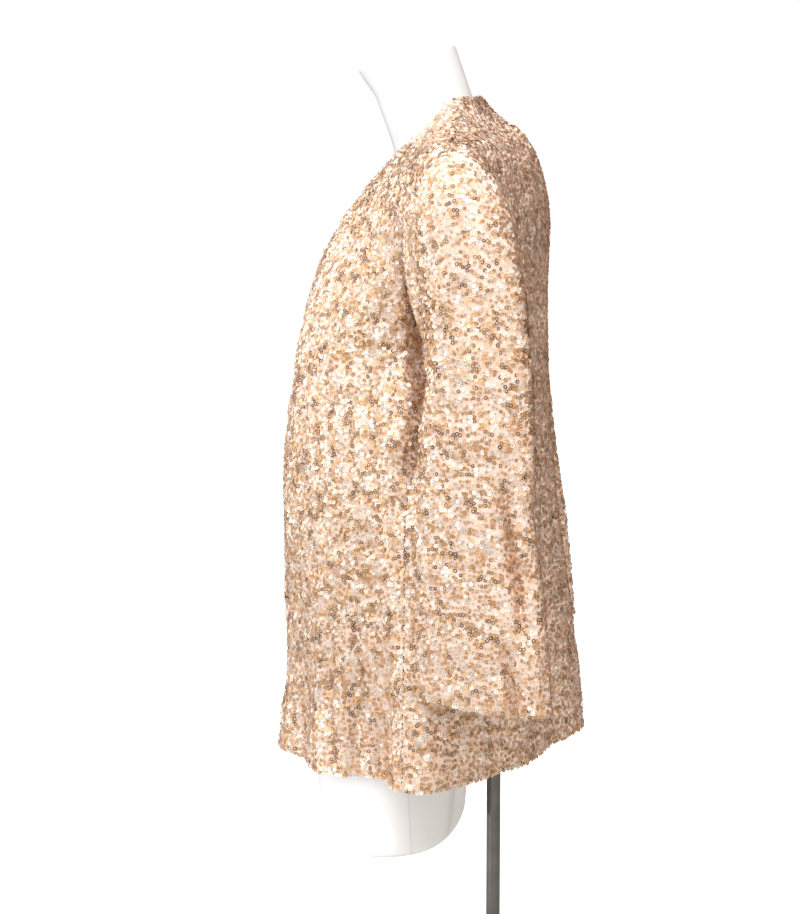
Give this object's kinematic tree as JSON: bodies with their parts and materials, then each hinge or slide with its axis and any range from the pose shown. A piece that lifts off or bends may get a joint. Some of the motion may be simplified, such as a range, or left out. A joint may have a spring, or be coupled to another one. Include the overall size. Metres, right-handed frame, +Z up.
{
  "type": "blazer on a dress form",
  "caption": "Open-fronted, collarless, long-sleeved blazer of all-over sequin cloth, shown on a limbless dress form with a pole and a round base.",
  "frame": {"origin": "centre of the underside of the round base plate, on the floor", "axes": "+Z up along the height, -Y towards the front of the blazer, +X towards the wearer's left"},
  "size_m": [0.521, 0.34, 1.368],
  "materials": {
    "sequin_cloth": "metallic sequins on a fine mesh ground",
    "form_shell": "gloss",
    "dark_chrome": "polished"
  },
  "bodies": {
    "root": {"blazer_back": "sequin_cloth", "blazer_front_left": "sequin_cloth", "blazer_front_right": "sequin_cloth", "blazer_sleeve_left": "sequin_cloth", "blazer_sleeve_right": "sequin_cloth", "dress_form": "form_shell", "pole": "dark_chrome", "pole_collar": "dark_chrome", "base_plate": "dark_chrome"}
  },
  "joints": []
}
